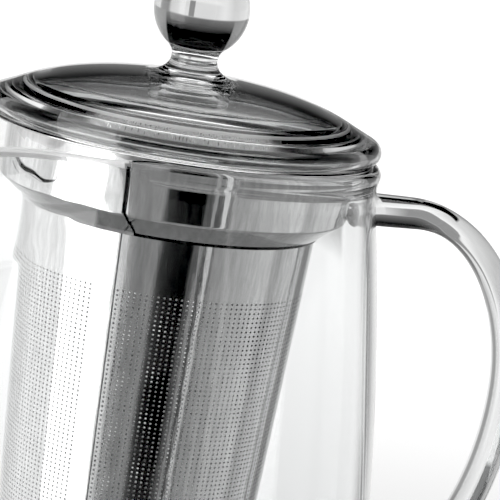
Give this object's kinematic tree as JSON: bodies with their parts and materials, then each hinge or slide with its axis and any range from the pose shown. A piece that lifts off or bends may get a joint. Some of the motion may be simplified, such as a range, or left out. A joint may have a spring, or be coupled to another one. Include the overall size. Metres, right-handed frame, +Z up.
{
  "type": "glass teapot with infuser",
  "caption": "Clear glass teapot with a fused lip and loop handle, a lift-out perforated steel infuser and a domed glass lid with a ball knob.",
  "frame": {"origin": "centre of the flat base, on the pot's axis", "axes": "+Z up along the pot's axis, +X towards the handle, -X towards the pouring lip"},
  "size_m": [0.1585, 0.1096, 0.17],
  "materials": {
    "pot_glass": "clear blown borosilicate",
    "handle_glass": "clear solid rod",
    "collar_steel": "bright polished stainless",
    "sleeve_steel": "satin perforated stainless",
    "lid_glass": "clear pressed borosilicate",
    "knob_glass": "clear solid ball"
  },
  "bodies": {
    "pot": {"pot_body": "pot_glass", "pouring_lip": "pot_glass", "handle": "handle_glass"},
    "infuser": {"infuser_collar": "collar_steel", "infuser_sleeve": "sleeve_steel", "infuser_floor": "sleeve_steel"},
    "lid": {"lid_dome": "lid_glass", "lid_skirt": "lid_glass", "lid_knob": "knob_glass"}
  },
  "joints": [
    {"name": "infuser_lift", "type": "slide", "parent": "pot", "child": "infuser", "axis": [0, 0, 1], "range_m": [0, 0.125]},
    {"name": "lid_lift", "type": "slide", "parent": "infuser", "child": "lid", "axis": [0, 0, 1], "range_m": [0, 0.03]}
  ]
}
